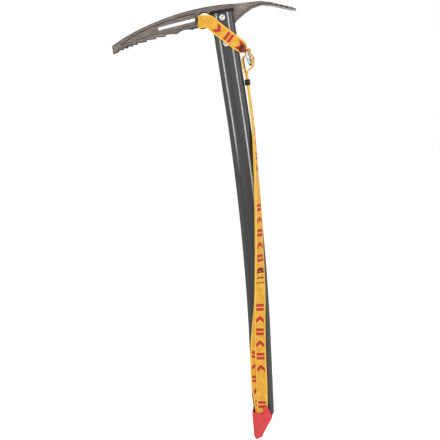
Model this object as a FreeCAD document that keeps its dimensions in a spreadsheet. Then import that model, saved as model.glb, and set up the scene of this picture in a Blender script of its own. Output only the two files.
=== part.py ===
"""General-purpose ice axe: forged head, curved alloy shaft, head sling, wrist loop and spike cover.

Millimetres. The origin is the centre of the head's eye, on the middle plane of the axe.
+Z runs up along the straight upper shaft, -X points along the pick and +X along the adze.
"""
import FreeCAD, Part
import Sketcher
import math
import os

from FreeCAD import Placement, Rotation, Vector

doc = FreeCAD.newDocument("ice_axe")

# ---------------------------------------------------------------- driving dimensions
sheet = doc.addObject("Spreadsheet::Sheet", "sizes")
SIZES = {
    # shaft: an extruded alloy tube with a long gentle bend
    "shaft_width": 33.0, "shaft_depth": 21.0, "shaft_corner": 6.0, "shaft_wall": 1.6,
    "shaft_offset": 27.0, "shaft_top": 9.0, "straight_drop": 115.0, "bend_length": 386.0,
    "bend_turn": 6.32, "tail_length": 101.1, "flute_spacing": 16.8, "flute_width": 2.2,
    "flute_depth": 0.7, "bevel_height": 30.0, "bevel_depth": 3.9,
    # head: one forging, pick on the left, adze on the right, tang inside the shaft
    "head_thickness": 7.0, "eye_radius": 10.0, "recess_depth": 1.3, "tang_width": 24.0,
    "tang_bottom": 56.0, "adze_width": 52.0, "adze_thickness": 3.2, "slot_width": 4.6,
    "fine_pitch": 7.2, "coarse_pitch": 14.4, "tooth_depth": 2.3, "adze_notch": 1.3,
    "web_drop": 11.5, "cap_wall": 1.1, "cap_skirt": 3.0, "cap_plate": 1.4, "cap_round": 2.0,
    # rivets: hollow steel, through shaft and tang
    "rivet_radius": 3.0, "rivet_bore": 1.9, "rivet_head_radius": 4.5, "rivet_head_height": 0.6,
    "upper_rivet_z": -1.1, "lower_rivet_z": -38.8,
    # spike, the plug round it and the cover over it
    "spike_thickness": 5.0, "spike_tang_width": 19.0, "spike_tang_height": 44.0,
    "spike_length": 37.6, "plug_flange": 1.2, "plug_height": 14.0, "spike_rivet_z": 28.0,
    "cover_wall": 1.9, "pocket_depth": 5.4, "cover_length": 41.6, "cover_gap": 0.4,
    # webbing, ring and keeper
    "webbing_width": 16.5, "webbing_thickness": 1.5, "webbing_pitch": 1.9,
    "ring_radius": 10.5, "ring_wire": 2.0, "ring_beside": 12.8, "ring_z": -64.3,
    "ring_turn": 9.0, "ring_tilt": 4.6, "loop_turn": 1.0, "sling_slope": 45.8,
    "bight_width": 11.5, "sling_width": 18.5, "sling_tail_width": 8.6, "tack_height": 0.5,
    "sling_tack_clear": 0.18, "loop_tack_clear": 0.10,
    "keeper_wall": 1.5, "keeper_height": 8.6, "keeper_z": -99.5,
    "fit_gap": 0.15, "loose_gap": 0.3,
}
for row, (alias, number) in enumerate(SIZES.items(), start=1):
    sheet.set(f"A{row}", alias)
    sheet.set(f"B{row}", str(number))
    sheet.setAlias(f"B{row}", alias)
doc.recompute()


def size(alias):
    """A driving dimension as a plain number."""
    return float(sheet.get(alias))


def cells(expression):
    """An expression in which each $name stands for that cell of the sheet."""
    return expression.replace("$", "sizes.")


# ---------------------------------------------------------------- shaft centreline
def shaft_frame(drop):
    """Placement on the shaft's centreline, a length below the eye, local -Z along the shaft."""
    turn = math.radians(size("bend_turn"))
    radius = size("bend_length") / turn
    along = min(max(drop - size("straight_drop"), 0.0), size("bend_length")) / radius
    straight = min(drop, size("straight_drop"))
    tail = max(drop - size("straight_drop") - size("bend_length"), 0.0)
    x = size("shaft_offset") - radius * (1 - math.cos(along)) - tail * math.sin(along)
    z = -straight - radius * math.sin(along) - tail * math.cos(along)
    return Placement(Vector(x, 0, z), Rotation(Vector(0, 1, 0), math.degrees(along)))


def shaft_side():
    """X of the straight shaft's side face, on the adze side."""
    return size("shaft_offset") + size("shaft_width") / 2


SHAFT_END = size("straight_drop") + size("bend_length") + size("tail_length")
tail_frame = shaft_frame(SHAFT_END)


# ---------------------------------------------------------------- making helpers
def value_of(expression):
    """The present number of an expression made of cells."""
    return float(sheet.evalExpression(expression.replace("$", "")))


def new_body(name, place=Placement()):
    """A labelled PartDesign body at its place."""
    body = doc.addObject("PartDesign::Body", name)
    body.Label = name
    body.Placement = place
    return body


def plane_sketch(body, name, role):
    """An empty sketch on one of the body's own origin planes."""
    sketch = body.newObject("Sketcher::SketchObject", name)
    plane = next(item for item in body.Origin.OriginFeatures if item.Role == role)
    sketch.AttachmentSupport = [(plane, "")]
    sketch.MapMode = "FlatFace"
    return sketch


def hold(sketch, kind, reference, text):
    """Add a dimension to a sketch and tie it to the sheet."""
    index = sketch.addConstraint(Sketcher.Constraint(kind, *reference, value_of(text)))
    sketch.setExpression(f"Constraints[{index}]", cells(text))


def polygon(body, name, role, corners):
    """A closed sketch of straight lines whose corners are pairs of expressions."""
    sketch = plane_sketch(body, name, role)
    places = [Vector(value_of(x), value_of(y), 0) for x, y in corners]
    for index, place in enumerate(places):
        sketch.addGeometry(Part.LineSegment(place, places[(index + 1) % len(places)]))
    for index, (x, y) in enumerate(corners):
        before = (index - 1) % len(corners)
        sketch.addConstraint(Sketcher.Constraint("Coincident", before, 2, index, 1))
        hold(sketch, "DistanceX", (-1, 1, index, 1), x)
        hold(sketch, "DistanceY", (-1, 1, index, 1), y)
    return sketch


def rectangle(body, name, role, low_x, high_x, low_y, high_y):
    """A closed rectangular sketch between four expressions."""
    corners = [(low_x, low_y), (high_x, low_y), (high_x, high_y), (low_x, high_y)]
    return polygon(body, name, role, corners)


def circle(body, name, role, radius, x, y):
    """A sketch of one circle."""
    sketch = plane_sketch(body, name, role)
    centre = Vector(value_of(x), value_of(y), 0)
    sketch.addGeometry(Part.Circle(centre, Vector(0, 0, 1), value_of(radius)))
    hold(sketch, "Radius", (0,), radius)
    hold(sketch, "DistanceX", (-1, 1, 0, 3), x)
    hold(sketch, "DistanceY", (-1, 1, 0, 3), y)
    return sketch


def rounded_section(body, name, width, depth, corner):
    """A rounded rectangle centred on the shaft's axis at its top end."""
    sketch = plane_sketch(body, name, "XY_Plane")
    half_w, half_d, r = value_of(width) / 2, value_of(depth) / 2, value_of(corner)
    quarter = math.pi / 2
    for turn, (cx, cy) in enumerate([(1, 1), (-1, 1), (-1, -1), (1, -1)]):
        centre = Vector(cx * (half_w - r), cy * (half_d - r), 0)
        bend = Part.Circle(centre, Vector(0, 0, 1), r)
        sketch.addGeometry(Part.ArcOfCircle(bend, turn * quarter, (turn + 1) * quarter))
    for turn in range(4):
        start, end = sketch.Geometry[turn].EndPoint, sketch.Geometry[(turn + 1) % 4].StartPoint
        sketch.addGeometry(Part.LineSegment(start, end))
    for turn in range(4):
        sketch.addConstraint(Sketcher.Constraint("Tangent", turn, 2, turn + 4, 1))
        sketch.addConstraint(Sketcher.Constraint("Tangent", turn + 4, 2, (turn + 1) % 4, 1))
    hold(sketch, "Radius", (0,), corner)
    for turn, (cx, cy) in enumerate([(1, 1), (-1, 1), (-1, -1), (1, -1)]):
        hold(sketch, "DistanceX", (-1, 1, turn, 3), f"{cx} * (({width}) / 2 - ({corner}))")
        hold(sketch, "DistanceY", (-1, 1, turn, 3), f"{cy} * (({depth}) / 2 - ({corner}))")
    return sketch


def at_shaft_top(sketch):
    """Lift a section to the shaft's top end."""
    sketch.AttachmentOffset = Placement(Vector(size("shaft_offset"), 0, size("shaft_top")), Rotation())
    sketch.setExpression("AttachmentOffset.Base.x", cells("$shaft_offset"))
    sketch.setExpression("AttachmentOffset.Base.z", cells("$shaft_top"))


def pad(body, name, sketch, length):
    """A pad, half to each side of its sketch."""
    feature = body.newObject("PartDesign::Pad", name)
    feature.Profile = sketch
    feature.SideType = "Symmetric"
    feature.setExpression("Length", cells(length))
    doc.recompute()
    return feature


def pocket(body, name, sketch, length):
    """A pocket, half to each side of its sketch, that must take something away."""
    before = body.Shape.Volume
    feature = body.newObject("PartDesign::Pocket", name)
    feature.Profile = sketch
    feature.SideType = "Symmetric"
    feature.setExpression("Length", cells(length))
    doc.recompute()
    assert body.Shape.Volume < before, f"{name} cuts nothing"
    return feature


def pipe(body, name, kind, sketch, spine):
    """A section carried along a spine, added to or taken from the body."""
    feature = body.newObject(f"PartDesign::{kind}Pipe", name)
    feature.Profile = sketch
    feature.Spine = (spine, [f"Edge{index + 1}" for index in range(3)])
    doc.recompute()
    return feature


def shaped(name, shape):
    """A named piece whose shape is worked out from the sheet's sizes."""
    feature = doc.addObject("Part::Feature", name)
    feature.Label = name
    feature.Shape = shape
    return feature


def flat_face(edges):
    """A face inside a closed run of edges."""
    return Part.Face(Part.Wire(Part.__sortEdges__(edges)))


def spline(places):
    """A smooth edge through places given as (x, z)."""
    curve = Part.BSplineCurve()
    curve.interpolate([Vector(x, 0, z) for x, z in places])
    return curve.toShape()


def lines(places):
    """Straight edges through places given as (x, z)."""
    corners = [Vector(x, 0, z) for x, z in places]
    return [Part.LineSegment(a, b).toShape() for a, b in zip(corners, corners[1:])]


def slab(face, low_y, high_y):
    """An upright face in the XZ plane made into a slab between two depths."""
    face = face.copy()
    face.translate(Vector(0, low_y, 0))
    return face.extrude(Vector(0, high_y - low_y, 0))


# ---------------------------------------------------------------- shaft
def make_shaft():
    """Drawn tube with two flutes on each broad face, slotted for the head, drilled for rivets."""
    body = new_body("shaft")
    spine = plane_sketch(body, "shaft_spine", "XZ_Plane")
    bend = shaft_frame(size("straight_drop")).Base
    middle = shaft_frame(size("straight_drop") + size("bend_length") / 2).Base
    bend_end = shaft_frame(size("straight_drop") + size("bend_length")).Base
    end = tail_frame.Base
    flat = [Vector(place.x, place.z, 0) for place in (bend, middle, bend_end, end)]
    top = Vector(size("shaft_offset"), size("shaft_top"), 0)
    spine.addGeometry(Part.LineSegment(top, flat[0]))
    spine.addGeometry(Part.Arc(flat[0], flat[1], flat[2]))
    spine.addGeometry(Part.LineSegment(flat[2], flat[3]))
    for index in range(3):
        spine.addConstraint(Sketcher.Constraint("Block", index))
    outer = rounded_section(body, "shaft_outside", "$shaft_width", "$shaft_depth", "$shaft_corner")
    at_shaft_top(outer)
    pipe(body, "shaft_skin", "Additive", outer, spine)
    inner = rounded_section(body, "shaft_inside", "$shaft_width - 2 * $shaft_wall",
                            "$shaft_depth - 2 * $shaft_wall", "$shaft_corner - $shaft_wall")
    at_shaft_top(inner)
    pipe(body, "shaft_bore", "Subtractive", inner, spine)
    for side, depth in (("front", "-1"), ("back", "1")):
        for hand, across in (("left", "-1"), ("right", "1")):
            middle_x = f"{across} * $flute_spacing / 2"
            floor = f"{depth} * ($shaft_depth / 2 - $flute_depth)"
            outside = f"{depth} * ($shaft_depth / 2 + $flute_depth)"
            flute = rectangle(body, f"flute_{side}_{hand}", "XY_Plane",
                              f"{middle_x} - $flute_width / 2", f"{middle_x} + $flute_width / 2",
                              floor, outside)
            at_shaft_top(flute)
            pipe(body, f"flute_{side}_{hand}_cut", "Subtractive", flute, spine)
    half_slot = "($head_thickness / 2 + $fit_gap)"
    slot = rectangle(body, "head_slot", "YZ_Plane", f"-{half_slot}", half_slot,
                     "-$web_drop - $loose_gap", "$shaft_top + 1")
    pocket(body, "head_slot_cut", slot, "4 * $shaft_offset + 4 * $shaft_width")
    for name in ("upper_rivet", "lower_rivet"):
        hole = circle(body, f"{name}_hole", "XZ_Plane", "$rivet_radius + $fit_gap",
                      "$shaft_offset", f"${name}_z")
        pocket(body, f"{name}_drilling", hole, "2 * $shaft_depth")
    return body


def trim_shaft_end(shaft):
    """Bevel the lower end on the pick side and drill it for the spike's rivet."""
    width, depth = size("shaft_width"), size("shaft_depth")
    left = -width / 2
    corners = [(left - 1, size("bevel_height")), (left, size("bevel_height")),
               (left + size("bevel_depth"), 0), (left + size("bevel_depth"), -1), (left - 1, -1)]
    wedge = slab(flat_face(lines(corners + corners[:1])), -depth, depth)
    drill = Part.makeCylinder(size("rivet_radius") + size("fit_gap"), 2 * depth,
                              Vector(0, -depth, size("spike_rivet_z")), Vector(0, 1, 0))
    tools = shaped("shaft_end_tools", Part.makeCompound([wedge, drill]))
    tools.Placement = tail_frame
    cut = doc.addObject("Part::Cut", "shaft_trimmed")
    cut.Base = shaft
    cut.Tool = tools
    shaft.Label = "shaft_tube"
    cut.Label = "shaft"
    return cut


# ---------------------------------------------------------------- head
TIP_TOP = (-141.8, -15.1)
TIP_POINT = (-141.8, -27.4)
FIRST_TOOTH = (-133.0, -25.4)
LAST_TOOTH = (-60.2, -14.5)
PICK_SAG = 1.6


def tooth_line(x):
    """Height of the line that the tooth tips follow, a little hollow between its ends."""
    share = (x - FIRST_TOOTH[0]) / (LAST_TOOTH[0] - FIRST_TOOTH[0])
    straight = FIRST_TOOTH[1] + share * (LAST_TOOTH[1] - FIRST_TOOTH[1])
    return straight + PICK_SAG * 4 * share * (1 - share)


def pick_underside():
    """Corners of the toothed edge, from the point to the scallops by the eye."""
    depth = size("tooth_depth")
    tips = [FIRST_TOOTH[0] + index * size("fine_pitch") for index in range(5)]
    while tips[-1] + size("coarse_pitch") < LAST_TOOTH[0] + size("fine_pitch"):
        tips.append(tips[-1] + size("coarse_pitch"))
    corners = [TIP_POINT]
    for x in tips:
        corners.append((x, tooth_line(x)))
        corners.append((x + 0.4, tooth_line(x) + depth))
    return corners


def head_outline():
    """Closed outline of the forging's plate, seen from the broad side."""
    under = pick_underside()
    heel_x = size("shaft_offset") - size("tang_width") / 2
    toe_x = size("shaft_offset") + size("tang_width") / 2
    shaft_left = size("shaft_offset") - size("shaft_width") / 2 - size("loose_gap")
    side_x = shaft_side() + 1.5
    top = spline([TIP_TOP, (-114.1, -3.2), (-71.3, 8.9), (-37.2, 15.2), (-5.9, 17.9),
                  (18.1, 18.1), (side_x, 16.3)])
    scallops = [spline([under[-1], (-52.3, -12.1), (-44.1, -13.8)]),
                spline([(-44.1, -13.8), (-31.0, -9.4), (-19.5, -11.2)]),
                spline([(-19.5, -11.2), (-14.0, -9.6), (-6.0, -12.6)])]
    drop = -size("web_drop")
    rest = lines([(-6.0, -12.6), (shaft_left, drop), (heel_x - 2, drop), (heel_x, drop - 2),
                  (heel_x, 3 - size("tang_bottom")), (heel_x + 3, -size("tang_bottom")),
                  (toe_x - 3, -size("tang_bottom")), (toe_x, 3 - size("tang_bottom")),
                  (toe_x, drop - 2), (toe_x + 2, drop), (side_x, drop), (side_x, 16.3)])
    front = lines([TIP_TOP, TIP_POINT])
    return [top] + front + lines(under) + scallops + rest


def recess_outline():
    """Sunk panel on each face of the pick."""
    upper = [(-126.5, -16.0), (-102.7, -4.6), (-81.0, 1.4), (-61.8, 5.6), (-42.5, 8.6),
             (-23.8, 10.2), (-14.5, 10.6)]
    lower = [(-126.5, -16.0), (-103.6, -12.6), (-82.8, -9.6), (-58.9, -8.6), (-45.2, -7.1),
             (-26.2, -4.9), (-14.5, -4.4)]
    return [spline(upper), spline(lower)] + lines([upper[-1], (-12.4, 3.1), lower[-1]])


def adze_section(x, middle_z, width, height):
    """One rounded-off section of the adze, as a closed wire."""
    cut = min(width, height) * 0.28
    half_w, half_h = width / 2, height / 2
    ring = [(-half_w, -half_h + cut), (-half_w + cut, -half_h), (half_w - cut, -half_h),
            (half_w, -half_h + cut), (half_w, half_h - cut), (half_w - cut, half_h),
            (-half_w + cut, half_h), (-half_w, half_h - cut)]
    corners = [Vector(x, y, middle_z + z) for y, z in ring]
    return Part.makePolygon(corners + corners[:1])


def make_adze():
    """Blade that grows out of the plate, fans out flat and droops to a sharpened edge."""
    start = size("shaft_offset") + size("shaft_width") / 2
    wide, thin, plate = size("adze_width"), size("adze_thickness"), size("head_thickness")
    web = 16.5 + size("web_drop") - 0.6
    sections = [(start, 16.3 - web / 2, plate, web), (start + 15, 7.0, plate * 1.25, 17.0),
                (start + 28, 9.7, wide * 0.32, 9.4), (start + 42, 10.2, wide * 0.62, 5.2),
                (start + 56, 6.6, wide * 0.86, thin + 0.6), (start + 70, 0.9, wide * 0.97, thin),
                (start + 82, -3.8, wide, thin * 0.9), (start + 91, -7.2, wide * 0.98, 0.9)]
    blade = Part.makeLoft([adze_section(*section) for section in sections], True, True)
    notches = []
    for index in range(6):
        x = start + 47 + 7 * index
        for side in (-1, 1):
            edge = side * (size("adze_width") * (0.36 + 0.13 * min(1, 0.25 + 0.18 * index)) + 1.6)
            notches.append(Part.makeCylinder(1.6 + size("adze_notch") * 0.5, 60, Vector(x, edge, -30)))
    return blade.cut(Part.makeCompound(notches))


def make_head():
    """The whole forging: plate with teeth, eye, window and sunk panels, then the adze."""
    half = size("head_thickness") / 2
    plate = slab(flat_face(head_outline()), -half, half)
    panel = flat_face(recess_outline())
    floor = half - size("recess_depth")
    cuts = [slab(panel, floor, half + 1), slab(panel, -half - 1, -floor)]
    cuts.append(Part.makeCylinder(size("eye_radius"), 4 * half, Vector(0, -2 * half, 0), Vector(0, 1, 0)))
    for z in (size("upper_rivet_z"), size("lower_rivet_z")):
        foot = Vector(size("shaft_offset"), -2 * half, z)
        bore = size("rivet_radius") + size("fit_gap")
        cuts.append(Part.makeCylinder(bore, 4 * half, foot, Vector(0, 1, 0)))
    near, far = Vector(-15.9, 0, 2.6), Vector(-67.9, 0, -1.7)
    run = far - near
    across = Vector(-run.z, 0, run.x).normalize() * (size("slot_width") / 2)
    beyond = run.normalize() * (size("slot_width") / 2)
    edges = [Part.LineSegment(near + across, far + across).toShape(),
             Part.Arc(far + across, far + beyond, far - across).toShape(),
             Part.LineSegment(far - across, near - across).toShape(),
             Part.Arc(near - across, near - beyond, near + across).toShape()]
    cuts.append(slab(flat_face(edges), -half - 1, half + 1))
    head = plate.cut(Part.makeCompound(cuts)).fuse(make_adze()).removeSplitter()
    return shaped("head", head)


def make_cap(name, side):
    """One half of the black moulded cap on the shaft's open top, on one side of the head."""
    wall, gap = size("cap_wall"), size("fit_gap")
    low = size("shaft_top") - size("cap_skirt")
    high = size("shaft_top") + size("cap_plate")
    grow = 2 * (wall + gap)
    outer = rounded_block(size("shaft_width") + grow, size("shaft_depth") + grow,
                          size("shaft_corner") + wall + gap, low, high)
    rim = [edge for edge in outer.Edges if edge.BoundBox.ZMin > high - 0.01]
    outer = outer.makeFillet(size("cap_round"), rim)
    inner = rounded_block(size("shaft_width") + 2 * gap, size("shaft_depth") + 2 * gap,
                          size("shaft_corner") + gap, low - 1, size("shaft_top") + gap / 3)
    start = size("head_thickness") / 2 + gap
    reach = size("shaft_depth")
    foot = Vector(size("shaft_offset") - 40, min(side * start, side * reach), low)
    half = Part.makeBox(80, reach - start, high - low, foot)
    return shaped(name, outer.cut(inner).common(half))


def rounded_block(width, depth, corner, low, high):
    """An upright block with rounded corners round the shaft's top axis."""
    box = Part.makeBox(width, depth, high - low,
                       Vector(size("shaft_offset") - width / 2, -depth / 2, low))
    upright = [edge for edge in box.Edges if abs(edge.tangentAt(edge.FirstParameter).z) > 0.9]
    return box.makeFillet(corner, upright)


# ---------------------------------------------------------------- rivets
def make_rivet(name, place):
    """Hollow rivet lying along Y, with a domed head at each end."""
    shank = doc.addObject("Part::Cylinder", f"{name}_shank")
    shank.setExpression("Radius", cells("$rivet_radius"))
    shank.setExpression("Height", cells("$shaft_depth"))
    shank.Placement = Placement(Vector(0, size("shaft_depth") / 2, 0), Rotation(Vector(1, 0, 0), 90))
    heads = []
    for side, turn in (("front", 90), ("back", -90)):
        head = doc.addObject("Part::Cone", f"{name}_{side}_head")
        head.setExpression("Radius1", cells("$rivet_head_radius"))
        head.setExpression("Radius2", cells("$rivet_head_radius - $rivet_head_height"))
        head.setExpression("Height", cells("$rivet_head_height"))
        depth = math.copysign(size("shaft_depth") / 2, -turn)
        head.Placement = Placement(Vector(0, depth, 0), Rotation(Vector(1, 0, 0), turn))
        heads.append(head)
    solid = doc.addObject("Part::MultiFuse", f"{name}_solid")
    solid.Shapes = [shank] + heads
    bore = doc.addObject("Part::Cylinder", f"{name}_bore")
    bore.setExpression("Radius", cells("$rivet_bore"))
    bore.setExpression("Height", cells("2 * $shaft_depth"))
    bore.Placement = Placement(Vector(0, size("shaft_depth"), 0), Rotation(Vector(1, 0, 0), 90))
    rivet = doc.addObject("Part::Cut", name)
    rivet.Base = solid
    rivet.Tool = bore
    rivet.Placement = place
    return rivet


# ---------------------------------------------------------------- lower end
def make_plug():
    """Black moulded plug that closes the tube round the spike's tang."""
    body = new_body("end_plug", tail_frame)
    inside = "($shaft_width / 2 - $shaft_wall - $fit_gap)"
    left = "(-$shaft_width / 2 + $bevel_depth + $shaft_wall + $fit_gap)"
    outline = polygon(body, "plug_outline", "XZ_Plane", [
        (left, "0"), (inside, "0"), (inside, "$plug_height"), (left, "$plug_height")])
    core = pad(body, "plug_core", outline, "$shaft_depth - 2 * $shaft_wall - 2 * $fit_gap")
    along = body.Placement.Rotation.multVec(Vector(0, 0, 1))
    names = [f"Edge{index}" for index, edge in enumerate(body.Shape.Edges, start=1)
             if abs(edge.tangentAt(edge.FirstParameter).dot(along)) > 0.9]
    rounding = body.newObject("PartDesign::Fillet", "plug_corners")
    rounding.Base = (core, names)
    rounding.setExpression("Radius", cells("$shaft_corner - $shaft_wall"))
    doc.recompute()
    flange = polygon(body, "plug_flange_outline", "XZ_Plane", [
        ("-$shaft_width / 2 + $bevel_depth + 0.4", "-$plug_flange"),
        ("$shaft_width / 2 - 1.5", "-$plug_flange"), ("$shaft_width / 2 - 0.6", "0"),
        ("-$shaft_width / 2 + $bevel_depth + 0.4", "0")])
    pad(body, "plug_flange_plate", flange, "$shaft_depth - 2.4")
    half = "($spike_tang_width / 2 + $fit_gap)"
    tang = rectangle(body, "plug_slot", "XZ_Plane", f"-{half}", half, "-30", "60")
    pocket(body, "plug_slot_cut", tang, "$spike_thickness + 2 * $fit_gap")
    return body


def make_spike():
    """Flat steel spike with one straight edge, one slanting edge, and a tang in the tube."""
    body = new_body("spike", tail_frame)
    half = "$spike_tang_width / 2"
    shoulder = "-$plug_flange - $loose_gap"
    outline = polygon(body, "spike_outline", "XZ_Plane", [
        (f"-{half}", "$spike_tang_height"), (f"-{half}", shoulder), ("-11.9", shoulder),
        ("-12.2", f"-$spike_length + 4"), ("-11.4", "-$spike_length"), ("-9.6", "-$spike_length + 0.8"),
        ("-3.2", f"-$spike_length + 8.5"), ("9.2", shoulder), (half, shoulder),
        (half, "$spike_tang_height")])
    pad(body, "spike_blade", outline, "$spike_thickness")
    hole = circle(body, "spike_hole", "XZ_Plane", "$rivet_radius + $fit_gap", "0", "$spike_rivet_z")
    pocket(body, "spike_drilling", hole, "2 * $spike_thickness")
    return body


def make_cover():
    """Soft red cover: a wedge-shaped cup with a pocket in front for the wrist loop's end."""
    wall, deep = size("cover_wall"), size("cover_length")
    gap = size("cover_gap")
    back = size("shaft_depth") / 2 + gap
    front = -size("shaft_depth") / 2 - size("pocket_depth")
    left, right = -size("shaft_width") / 2, size("shaft_width") / 2
    outline = [(left + 0.2, 5.5), (-8.9, 3.9), (0.7, 1.7), (1.6, 13.1), (2.6, 13.6), (right - 9.5, 13.5),
               (right - 8.7, 12.8), (right - 2.0, -2.9), (right - 2.4, -4.1), (-2.6, 6.1 - deep),
               (-1.7, 4.9 - deep), (-3.4, 4.0 - deep), (-9.6, 0.5 - deep), (-12.2, -deep),
               (left + 2.3, 1.6 - deep), (left + 1.0, 7.5 - deep)]
    side = slab(flat_face(lines(outline + outline[:1])), front - wall - 5, back + wall + 5)
    taper = prism_along_x([(front - wall, 30), (front - wall, -2), (-6.6, -deep - 2),
                           (6.2, -deep - 2), (back + wall, -2), (back + wall, 30)], -30, 30)
    cup = side.common(taper)
    inner = [(left + 0.2 + wall, 30), (left + 1.0 + wall, 8.5 - deep), (-12.7, 3.6 - deep),
             (-10.2, 3.2 - deep), (-4.6, 7.6 - deep), (right - 5.1, -size("plug_flange") - gap),
             (30, -size("plug_flange") - gap), (30, 30)]
    hollow = slab(flat_face(lines(inner + inner[:1])), front - 5, back + 5)
    hollow_taper = prism_along_x([(front, 31), (front, -2.2), (-4.6, 2.6 - deep), (4.2, 2.6 - deep),
                                  (back, -2.2), (back, 31)], -31, 31)
    cup = cup.cut(hollow.common(hollow_taper))
    piece = shaped("spike_cover", cup)
    piece.Placement = tail_frame
    return piece


def prism_along_x(corners, low_x, high_x):
    """A prism whose section is given as (y, z) corners."""
    places = [Vector(low_x, y, z) for y, z in corners]
    face = Part.Face(Part.makePolygon(places + places[:1]))
    return face.extrude(Vector(high_x - low_x, 0, 0))


# ---------------------------------------------------------------- webbing
def ribbon(stations, thickness):
    """Flat webbing through stations of (centre, direction across the webbing, width)."""
    rings = []
    for index, (centre, across, width) in enumerate(stations):
        before = stations[max(index - 1, 0)][0]
        after = stations[min(index + 1, len(stations) - 1)][0]
        along = (after - before).normalize()
        across = (across - along * across.dot(along)).normalize()
        out = along.cross(across) * (thickness / 2)
        half = across * (width / 2)
        corners = [centre - half - out, centre + half - out, centre + half + out, centre - half + out]
        rings.append(Part.makePolygon(corners + corners[:1]))
    return Part.makeLoft(rings, True, True)


def sling_stations():
    """The sling from the ring's top, over the front face, through the eye and back behind."""
    slope = math.radians(size("sling_slope"))
    along = Vector(math.cos(slope), 0, -math.sin(slope))
    across = Vector(math.sin(slope), 0, math.cos(slope))
    aside = Vector(0, 1, 0)
    lift = (size("shaft_depth") / 2 + size("rivet_head_height") + size("loose_gap")
            + size("webbing_thickness") / 2)
    wide, width, narrow = size("sling_width"), size("webbing_width"), size("sling_tail_width")
    upright = Vector(0.2, 0, 0.98)
    gathered = wide * 0.76
    front = [(Vector(-3.2, -4.4, -0.8), upright, gathered),
             (Vector(-6.0, -6.4, -1.6), upright, wide * 0.86),
             (Vector(-8.8, -8.9, -2.3), upright, wide * 0.93),
             (Vector(-8.2, 1.0 - lift, -2.35), upright, wide),
             (Vector(-5.2, -lift, -2.2), upright, wide), (Vector(-1.0, -lift, -1.8), upright, wide),
             (Vector(7.8, -lift, -3.8), upright, wide), (Vector(12.2, -lift, -9.6), across, wide)]
    start = Vector(4.0, 0, -2.0)
    reach = (shaft_side() - start.x) / along.x
    front += [(start + along * u + Vector(0, -y, 0), across, wide)
              for u, y in [(20.0, lift), (40.0, lift), (reach - 2.7, lift), (reach + 3.3, lift - 0.2)]]
    back = [(Vector(c.x, -c.y, c.z), a, w) for c, a, w in front]
    side, half_depth = shaft_side(), size("shaft_depth") / 2
    front += [(Vector(side + 4.7, 1.3 - half_depth, -49.9), across + aside * 0.4, width * 0.9),
              (Vector(side + 6.4, 6.2 - half_depth, -51.0), across * 0.5 + aside * 0.87, width * 0.6),
              (Vector(side + 8.1, -0.6, -50.6), aside, narrow)]
    back += [(Vector(side + 5.3, half_depth - 0.4, -50.4), across + aside * 0.4, width * 0.85),
             (Vector(side + 6.5, half_depth - 5.7, -52.3), across * 0.5 + aside * 0.87, width * 0.58),
             (Vector(side + 7.0, 0.4, -54.1), aside, narrow)]
    turn = math.radians(size("ring_turn"))
    tangent = Vector(math.sin(turn), math.cos(turn), 0)
    top = ring_frame().multVec(Vector(0, 0, size("ring_radius")))
    clear = size("ring_wire") + size("webbing_thickness") / 2
    bight = [(120, 0.85), (87, 0.95), (48, 0.85), (0, 0.75), (-48, 1.85), (-91, 1.85), (-131, 1.8),
             (-161, 1.9)]
    wrap = []
    for angle, spare in bight:
        away = Vector(math.cos(math.radians(angle)), 0, math.sin(math.radians(angle))) * (clear + spare)
        wrap.append((top + away, tangent, narrow))
    eye = [(Vector(-3.2, 0, -0.6), upright, gathered)]
    return list(reversed(wrap)) + list(reversed(front)) + eye + back


def make_sling():
    """One length of webbing round the ring, over the shaft, through the eye and back."""
    return shaped("head_sling", ribbon(sling_stations(), size("webbing_thickness")))


def make_sling_stitches():
    """Bar tacks across the sling's two legs where its end is sewn down."""
    stations = sling_stations()
    wrap = 8 + 3
    places = [stations[wrap], stations[wrap + 1]]
    stitches = []
    for side in (-1, 1):
        for share in (0.12, 0.5, 0.88):
            near, far = places
            along = (far[0] - near[0]).normalize()
            middle = near[0] + (far[0] - near[0]) * share
            middle.y = side * abs(middle.y)
            along.y = 0
            lift = size("webbing_thickness") / 2 + size("tack_height") / 2 + size("sling_tack_clear")
            middle.y += side * lift
            run = along * 0.8
            ends = [(middle - run, near[1], size("webbing_width") * 0.72),
                    (middle + run, near[1], size("webbing_width") * 0.72)]
            stitches.append(ribbon(ends, size("tack_height")))
    return shaped("sling_stitching", Part.makeCompound(stitches))


# ---------------------------------------------------------------- ring
def ring_frame():
    """The ring's own frame: local X is its axis, local Z runs up in its plane."""
    turn = Rotation(Vector(0, 0, 1), -size("ring_turn")) * Rotation(Vector(0, 1, 0), -size("ring_tilt"))
    return Placement(Vector(shaft_side() + size("ring_beside"), 0, size("ring_z")), turn)


def make_ring():
    """Welded steel ring that joins the sling and the wrist loop."""
    ring = doc.addObject("Part::Torus", "ring")
    ring.setExpression("Radius1", cells("$ring_radius"))
    ring.setExpression("Radius2", cells("$ring_wire"))
    ring.Placement = ring_frame() * Placement(Vector(), Rotation(Vector(0, 1, 0), 90))
    return ring


# ---------------------------------------------------------------- wrist loop
LOOP_TOP = Vector(48.7, 0, -84.0)
LOOP_STRAIGHT_END = Vector(47.1, 0, -162.0)


def loop_frame(place):
    """Frame on the straight stretch: local X across the two legs, local Z up along them."""
    run = LOOP_TOP - LOOP_STRAIGHT_END
    lean = math.degrees(math.atan2(run.x, run.z))
    turn = Rotation(Vector(0, 0, 1), -size("loop_turn")) * Rotation(Vector(0, 1, 0), lean)
    return Placement(place, turn)


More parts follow.
